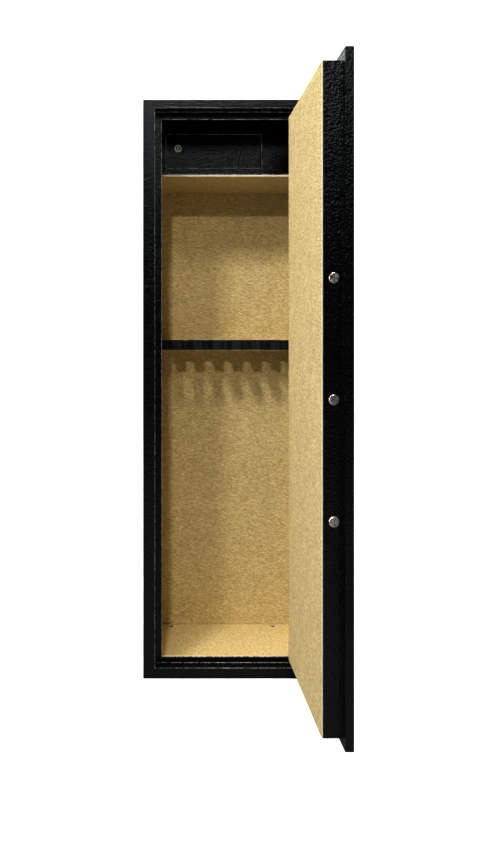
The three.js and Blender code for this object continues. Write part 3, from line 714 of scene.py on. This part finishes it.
lo, hi, (w, d, h) = box_and_size("door_lining")
CREASE_UP = 955 * MM - lo[2]
CREASE_SLANT, CREASE_WIDE, CREASE_DEEP = 6 * MM, 2.2 * MM, 0.55 * MM


def door_crease(u, v):
    """A faint fold that runs across the door's felt."""
    off = (v - CREASE_UP - CREASE_SLANT * (u / d - 0.5)) / CREASE_WIDE
    return CREASE_DEEP * math.exp(-off * off)


lining("felt_door", "door_lining", "door", ["door_pan"],
       flat_at((hi[0], lo[1], lo[2]), (0, 1, 0), (0, 0, 1), (-1, 0, 0)),
       across=d, along=h, thick=w - DOOR_EASE, seed=6, crease=door_crease, face=DOOR_FELT)

# ---------------------------------------------------------------- barrel rack: foam between two felts

RACK_SLOTS = 7
SLOT_PITCH = 52.8 * MM
SLOT_WIDE = 28.5 * MM
SLOT_DEEP = 65 * MM
SLOT_STEPS = 16
FACING_OVER = 1.6 * MM
FACING_UNDER = 0.7 * MM

lo, hi, (w, d, h) = box_and_size("barrel_rack")


def rack_outline():
    """The rack from above: straight at the back, with round-ended slots in its front edge."""
    half = SLOT_WIDE / 2
    straight = lo[1] + SLOT_DEEP - half
    line = [(lo[0], hi[1]), (lo[0], lo[1])]
    for i in range(RACK_SLOTS):
        x = (i - (RACK_SLOTS - 1) // 2) * SLOT_PITCH
        line.append((x - half, lo[1]))
        for k in range(SLOT_STEPS + 1):
            angle = math.pi - math.pi * k / SLOT_STEPS
            line.append((x + half * math.cos(angle), straight + half * math.sin(angle)))
        line.append((x + half, lo[1]))
    return line + [(hi[0], lo[1]), (hi[0], hi[1])]


def rack_layer(name, low, high, materials):
    """One layer of the rack; a second material goes on its upright sides."""
    outline = rack_outline()
    vertices = [(x, y, z) for z in (low, high) for x, y in outline]
    obj = outward(piece(name, vertices, prism_faces(len(outline)), materials))
    if len(materials) > 1:
        for polygon in obj.data.polygons:
            polygon.material_index = 1 if abs(polygon.normal.z) < 0.5 else 0
    return obj


body = soften(rack_layer("rack_body", lo[2], hi[2], [FOAM]), 1.0 * MM)
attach(body, "cabinet")
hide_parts("barrel_rack")
facings = (("rack_felt_under", lo[2] - FACING_UNDER, lo[2]), ("rack_felt_over", hi[2], hi[2] + FACING_OVER))
for name, low, high in facings:
    facing = soften(rack_layer(name, low, high, [FELT, FELT_CUT]), 0.25 * MM)
    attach(facing, "cabinet")
    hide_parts("barrel_rack")

# ---------------------------------------------------------------- rounded folds of the frame and the lockbox

def fold(name, corners, radius, closed=True):
    """The rolled edge of a folded sheet: a round bead along a line of corners."""
    curve = bpy.data.curves.new(name, "CURVE")
    curve.dimensions = "3D"
    line = curve.splines.new("POLY")
    line.points.add(len(corners) - 1)
    for point, corner in zip(line.points, corners):
        point.co = (*corner, 1)
    line.use_cyclic_u = closed
    curve.bevel_depth = radius
    curve.bevel_resolution = 3
    curve.use_fill_caps = not closed
    mesh = mesh_of_curve(name, curve, FOLD)
    mesh.shade_smooth()
    obj = put(name, mesh)
    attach(obj, "cabinet")


def fold_ring(name, left, right, low, high, y, radius):
    """A bead round an upright opening; its sizes are in millimetres."""
    corners = [(left, y, low), (right, y, low), (right, y, high), (left, y, high)]
    fold(name, [Vector(corner) * MM for corner in corners], radius * MM)


# The beads lie on the bends of the frame's front, rebate and lip, and round the lockbox's doorway.
fold_ring("fold_front", left=-192.6, right=192.6, low=24.9, high=1381.1, y=-163.7, radius=1.35)
fold_ring("fold_inner", left=-191.6, right=191.6, low=25.9, high=1380.1, y=-135.4, radius=1.0)
fold_ring("fold_lip", left=-175.6, right=175.6, low=39.3, high=1362.4, y=-134.0, radius=1.15)
fold_ring("fold_doorway", left=-163.4, right=85.2, low=1265.5, high=1353.8, y=-40.9, radius=0.8)
SHELF_BEAD, SHELF_BEAD_IN, SHELF_BEAD_DOWN = 1.0 * MM, 0.6 * MM, 0.9 * MM
lo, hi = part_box("lockbox_shelf")
shelf_edge = [(x, lo[1] + SHELF_BEAD_IN, hi[2] - SHELF_BEAD_DOWN) for x in (lo[0], hi[0])]
fold("fold_shelf", shelf_edge, SHELF_BEAD, closed=False)

# ---------------------------------------------------------------- lockbox lock face

RING_INNER, RING_OUTER, RING_THICK, RING_OVAL = 2.4 * MM, 5.3 * MM, 0.45 * MM, 1.6
SHUTTER_WIDE, SHUTTER_RISE, SHUTTER_STRETCH = 1.7 * MM, 0.7 * MM, 1.35

# The lock body is round about the plug's axis; the plug's own box isn't, because its cam hangs down.
lo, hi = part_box("lockbox_lock_body")
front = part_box("lockbox_lock_plug")[0][1]
centre = Vector(((lo[0] + hi[0]) / 2, front, (lo[2] + hi[2]) / 2))
# The section of a flat ring with eased rims.
section = [
    (RING_INNER, 0), (RING_INNER, RING_THICK * 0.7), (RING_INNER + 0.15 * MM, RING_THICK),
    (RING_OUTER - 0.3 * MM, RING_THICK), (RING_OUTER, RING_THICK * 0.5), (RING_OUTER, 0),
]
# A black rubber ring round the keyway stands in for the shade in the lock's recess: painted shade.
ring = lathe("lock_shade_ring", centre, (0, -1, 0), section, RUBBER)
# Its opening is an upright oval, so that it clears the keyway.
for vertex in ring.data.vertices:
    off = vertex.co - centre
    if math.hypot(off.x, off.z) < (RING_INNER + RING_OUTER) / 2:
        vertex.co.z = centre.z + off.z * RING_OVAL
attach(ring, "lockbox_plug")
section = dome(SHUTTER_WIDE, SHUTTER_RISE) + [(0.0, 0.0)]
shutter = lathe("lock_shutter", (0, 0, 0), (0, -1, 0), section, SHUTTER_STEEL)
shutter.data.transform(Matrix.Translation(centre) @ Matrix.Diagonal((1, 1, SHUTTER_STRETCH, 1)))
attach(shutter, "lockbox_plug")

# ---------------------------------------------------------------- solenoid spring

SPRING_WIRE = 0.5 * MM
SPRING_TURNS = 4.0
SPRING_ENDS = 0.75
SPRING_STEPS = 36
WIRE_SIDES = 10


def coil_spring(name, low, high, material):
    """A helix of round wire whose last turns lie flat at both ends."""
    centre = Vector(((low[0] + high[0]) / 2, (low[1] + high[1]) / 2, 0))
    radius = (high[0] - low[0]) / 2 - SPRING_WIRE
    turns = SPRING_TURNS + 2 * SPRING_ENDS
    count = round(turns * SPRING_STEPS)
    vertices, faces = [], []
    for i in range(count + 1):
        turn = turns * i / count
        rise = min(max((turn - SPRING_ENDS) / SPRING_TURNS, 0.0), 1.0)
        last = max((turn - SPRING_ENDS - SPRING_TURNS) / SPRING_ENDS, 0.0)
        flat = SPRING_WIRE * (min(turn / SPRING_ENDS, 1.0) + last)
        z = low[2] + SPRING_WIRE + flat + (high[2] - low[2] - 4 * SPRING_WIRE) * rise
        angle = math.tau * turn
        out = Vector((math.cos(angle), math.sin(angle), 0))
        for k in range(WIRE_SIDES):
            about = math.tau * k / WIRE_SIDES
            up = Vector((0, 0, z + SPRING_WIRE * math.sin(about)))
            vertices.append(centre + out * (radius + SPRING_WIRE * math.cos(about)) + up)
    for i in range(count):
        here, after = i * WIRE_SIDES, (i + 1) * WIRE_SIDES
        for k in range(WIRE_SIDES):
            beside = (k + 1) % WIRE_SIDES
            faces.append((here + k, here + beside, after + beside, after + k))
    faces += [tuple(reversed(range(WIRE_SIDES))), tuple(range(count * WIRE_SIDES, (count + 1) * WIRE_SIDES))]
    return outward(piece(name, vertices, faces, [material], smooth=True))


lo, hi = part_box("plunger_spring")
spring = coil_spring("spring_coil", lo, hi, STEEL_Z)
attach(spring, "plunger")
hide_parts("plunger_spring")
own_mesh(spring)

# ---------------------------------------------------------------- keypad: lamps and battery cover

SUNK = 0.2 * MM
LAMP_RADIUS, LAMP_RISE, LAMP_GAP, LAMP_DOWN = 2.2 * MM, 1.3 * MM, 9 * MM, 11 * MM
COVER_SIDE, COVER_HIGH, COVER_UP, COVER_RISE = 6 * MM, 22 * MM, 5 * MM, 0.6 * MM
COVER_CORNER, CORNER_STEPS = 2.5 * MM, 6

lo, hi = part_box("keypad_housing")
keypad_middle = (lo[1] + hi[1]) / 2
section = dome(LAMP_RADIUS, LAMP_RISE, lift=SUNK) + [(LAMP_RADIUS, 0), (0, 0)]
for side, (name, color) in zip((-1, 1), LAMP_COLORS.items()):
    spot = (hi[0] - SUNK, keypad_middle + side * LAMP_GAP, hi[2] - LAMP_DOWN)
    lens = moulded(name, color, rough=0.22, spark=900, depth=0.03 * MM)
    lamp = lathe(name, spot, (1, 0, 0), section, lens, sides=32)
    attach(lamp, "door")


def rounded(half_wide, low, high):
    """Points around a rectangle with round corners, about its middle line."""
    points = []
    quarters = ((1, high - COVER_CORNER, 0), (-1, high - COVER_CORNER, 90),
                (-1, low + COVER_CORNER, 180), (1, low + COVER_CORNER, 270))
    for side, up, start in quarters:
        for i in range(CORNER_STEPS + 1):
            angle = math.radians(start + 90 * i / CORNER_STEPS)
            across = side * (half_wide - COVER_CORNER) + COVER_CORNER * math.cos(angle)
            points.append((across, up + COVER_CORNER * math.sin(angle)))
    return points


outline = rounded((hi[1] - lo[1]) / 2 - COVER_SIDE, lo[2] + COVER_UP, lo[2] + COVER_UP + COVER_HIGH)
levels = (hi[0] - SUNK, hi[0] + COVER_RISE)
vertices = [(x, keypad_middle + y, z) for x in levels for y, z in outline]
battery_cover = outward(piece("battery_cover", vertices, prism_faces(len(outline)), [PLASTIC]))
soften(battery_cover, 0.3 * MM, segments=3)
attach(battery_cover, "door")

# ---------------------------------------------------------------- keypad: the keys' figures

FIGURE_SIZE, FIGURE_THICK, FIGURE_PROUD = 8.4 * MM, 0.12 * MM, 0.05 * MM
FIGURES = {f"key_{i}": str(i) for i in range(10)} | {"key_star": "*", "key_hash": "#"}

# The figures stand upright on the outer face, which looks along +X while the door is open.
UPRIGHT = Matrix.Rotation(math.radians(90), 4, "Z") @ Matrix.Rotation(math.radians(90), 4, "X")

for key, text in FIGURES.items():
    lo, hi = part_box(key)
    curve = bpy.data.curves.new(f"figure_{key}", "FONT")
    curve.body = text
    curve.size = FIGURE_SIZE
    curve.extrude = FIGURE_THICK
    curve.align_x = curve.align_y = "CENTER"
    mesh = mesh_of_curve(f"figure_{key}", curve, INK)
    spot = Vector((hi[0] + FIGURE_PROUD, (lo[1] + hi[1]) / 2, (lo[2] + hi[2]) / 2))
    mesh.transform(Matrix.Translation(spot) @ UPRIGHT)
    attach(put(f"figure_{key}", mesh), key)

# ---------------------------------------------------------------- floor, backdrop and reflectors

def stage_sheet(name, shape, shade, glow, camera=False, diffuse=False, glossy=False, near_glow=None):
    """A floor, backdrop or reflector, which shows in pictures, bounces light or shines in gloss as told."""
    g = Graph(name)
    color = g.mix(g.noise(4), rgba((shade, shade, shade), 0.97), rgba((shade, shade, shade), 1.03))
    if near_glow is not None:
        span = g.add("ShaderNodeVectorMath", operation="LENGTH")
        g.link(g.place, span.inputs[0])
        glow = g.ramp(span.outputs["Value"], FLOOR_NEAR, FLOOR_FAR, near_glow, glow)
    finish = g.finish(Base_Color=color, Roughness=0.9, Specular_IOR_Level=0.1,
                      Emission_Color=(1, 1, 1, 1), Emission_Strength=glow)
    obj = piece(name, *shape, [finish])
    obj.visible_camera = camera
    obj.visible_diffuse = diffuse
    obj.visible_glossy = glossy
    obj.visible_transmission = obj.visible_shadow = False


def square(reach, z):
    """A level square about the middle."""
    corners = [(-reach, -reach, z), (reach, -reach, z), (reach, reach, z), (-reach, reach, z)]
    return corners, [(0, 1, 2, 3)]


def round_wall(radius, low, high, first, last, sides=48):
    """An upright wall along an arc, from the first to the last angle in degrees about +Z."""
    angles = [math.radians(first + (last - first) * i / sides) for i in range(sides + 1)]
    vertices = [(radius * math.cos(a), radius * math.sin(a), z) for z in (low, high) for a in angles]
    faces = [(i, i + 1, sides + 2 + i, sides + 1 + i) for i in range(sides)]
    return vertices, faces


wall = round_wall(STUDIO_REACH, 0, STUDIO_HIGH, 0, 360)
stage_sheet("studio_floor", square(STUDIO_REACH, 0), STUDIO_PALE, FLOOR_GLOW_FAR, camera=True,
            near_glow=FLOOR_GLOW_NEAR)
stage_sheet("studio_bounce", square(STUDIO_REACH, -BOUNCE_DROP), BOUNCE_SHADE, glow=0.0, diffuse=True,
            glossy=True)
stage_sheet("studio_backdrop", wall, STUDIO_PALE, BACKDROP_GLOW, camera=True)
for number, (low, high) in enumerate(REFLECTOR_BANDS):
    band = round_wall(REFLECTOR_REACH, low, high, *REFLECTOR_SPAN)
    stage_sheet(f"studio_reflector_{number}", band, STUDIO_PALE, REFLECTOR_GLOW, glossy=True)

# ---------------------------------------------------------------- lights

lights = {}
for name, (place, look, size, power) in LIGHTS.items():
    data = bpy.data.lights.new(name, "AREA")
    data.shape = "RECTANGLE"
    data.size, data.size_y = size
    data.energy = power
    lights[name] = put(name, data)
    lights[name].location = place
    lights[name].rotation_euler = (Vector(look) - Vector(place)).to_track_quat("-Z", "Y").to_euler()
# The key light makes no highlights, and the gloss light makes nothing else.
lights["key_light"].visible_glossy = False
lights["gloss_light"].visible_diffuse = False
lights["gloss_light"].data.color = GLOSS_TINT

world = bpy.data.worlds.new("studio")
world.use_nodes = True
sky = world.node_tree.nodes["Background"]
sky.inputs["Color"].default_value = (1, 1, 1, 1)
sky.inputs["Strength"].default_value = SKY_STRENGTH
bpy.context.scene.world = world

# ---------------------------------------------------------------- camera

camera_data = bpy.data.cameras.new("camera")
camera_data.sensor_width = CAMERA_SENSOR
camera_data.lens = CAMERA_LENS
camera_data.shift_x, camera_data.shift_y = CAMERA_SHIFT
camera = put("camera", camera_data)
camera.location = CAMERA_PLACE
camera.rotation_euler = (math.pi / 2, 0, 0)
bpy.context.scene.camera = camera
bpy.context.scene.view_settings.view_transform = "Standard"
bpy.context.scene.view_settings.gamma = 1 / CONTRAST
